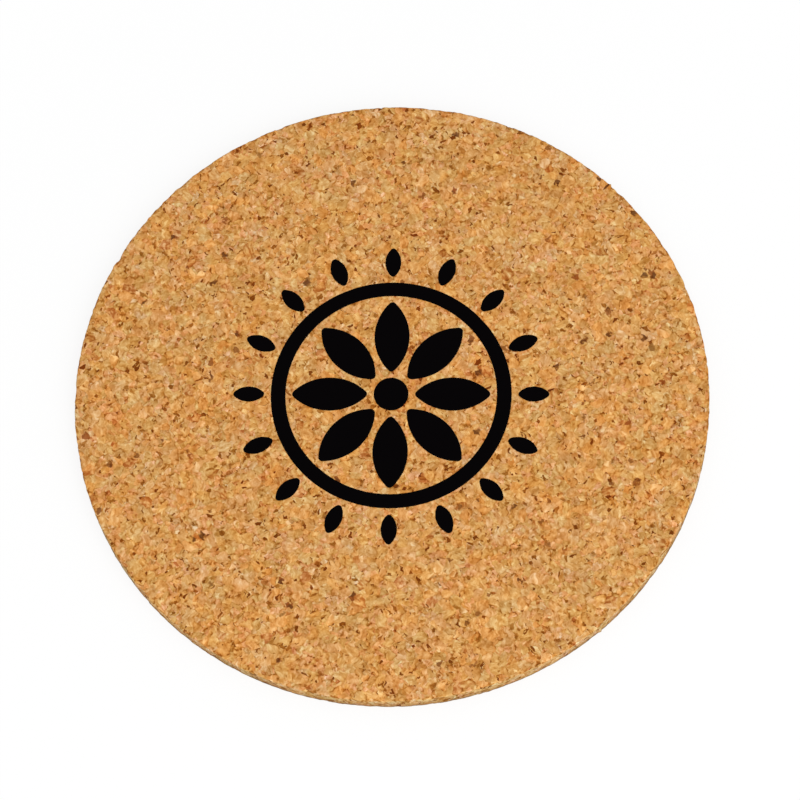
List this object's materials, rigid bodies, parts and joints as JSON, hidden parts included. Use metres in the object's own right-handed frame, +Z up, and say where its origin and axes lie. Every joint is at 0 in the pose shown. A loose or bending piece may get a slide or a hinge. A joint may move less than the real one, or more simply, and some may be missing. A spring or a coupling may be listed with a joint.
{
  "type": "cork coaster",
  "caption": "Thin round coaster die-cut from fine agglomerated cork, with eased edges and a black petal rosette printed on top; lies flat on a table under a cup or glass.",
  "frame": {"origin": "centre of the underside, on the table", "axes": "+Z up out of the printed face, along the disc's axis; +X along the first petal of the print, to the right in the picture; -Y towards the viewer"},
  "size_m": [0.095, 0.095, 0.003],
  "materials": {
    "cork": "matte",
    "black_ink": "matte"
  },
  "bodies": {
    "root": {"cork_disc": "cork", "print_centre_dot": "black_ink", "print_petal_1": "black_ink", "print_petal_2": "black_ink", "print_petal_3": "black_ink", "print_petal_4": "black_ink", "print_petal_5": "black_ink", "print_petal_6": "black_ink", "print_petal_7": "black_ink", "print_petal_8": "black_ink", "print_ring": "black_ink", "print_ray_01": "black_ink", "print_ray_02": "black_ink", "print_ray_03": "black_ink", "print_ray_04": "black_ink", "print_ray_05": "black_ink", "print_ray_06": "black_ink", "print_ray_07": "black_ink", "print_ray_08": "black_ink", "print_ray_09": "black_ink", "print_ray_10": "black_ink", "print_ray_11": "black_ink", "print_ray_12": "black_ink", "print_ray_13": "black_ink", "print_ray_14": "black_ink", "print_ray_15": "black_ink", "print_ray_16": "black_ink"}
  },
  "joints": []
}
